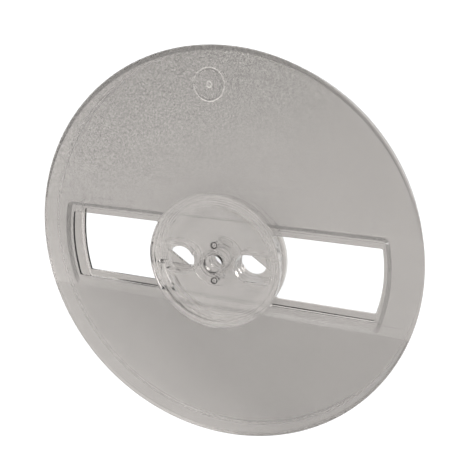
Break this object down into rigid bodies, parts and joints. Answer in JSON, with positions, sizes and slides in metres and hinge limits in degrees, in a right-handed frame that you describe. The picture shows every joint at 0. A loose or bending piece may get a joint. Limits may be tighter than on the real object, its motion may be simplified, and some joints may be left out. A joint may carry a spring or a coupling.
{
  "type": "ice fishing line reel",
  "caption": "Clear two-flange line reel for an ice fishing tip-up, with window cut-outs, finger holes, a drum core, a twist-lock flange and a spindle bush.",
  "frame": {"origin": "on the spindle axis, at the rear hub ring's face, the lowest point of the reel as it lies on its rear flange", "axes": "+Z along the spindle axis towards the front flange, +X along the pair of windows, +Y towards the round mark"},
  "size_m": [0.178, 0.178, 0.0124],
  "materials": {
    "flange_plastic": "clear injection-moulded plastic, gloss",
    "drum_plastic": "clear injection-moulded plastic, gloss",
    "bush_plastic": "clear moulded plastic, satin bore",
    "pin_plastic": "clear moulded plastic, gloss"
  },
  "bodies": {
    "spindle": {"spindle_bush": "bush_plastic", "bush_collar": "bush_plastic"},
    "reel": {"front_flange": "flange_plastic", "hub_drum": "drum_plastic", "lock_pin_upper": "pin_plastic", "lock_pin_lower": "pin_plastic"},
    "rear": {"rear_flange": "flange_plastic"}
  },
  "joints": [
    {"name": "reel_spin", "type": "hinge", "parent": "spindle", "child": "reel", "pos_m": [0, 0, 0.0062], "axis": [0, 0, 1], "continuous": true},
    {"name": "twist_lock", "type": "hinge", "parent": "reel", "child": "rear", "pos_m": [0, 0, 0.0019], "axis": [0, 0, 1], "range_deg": [0, 30]}
  ]
}
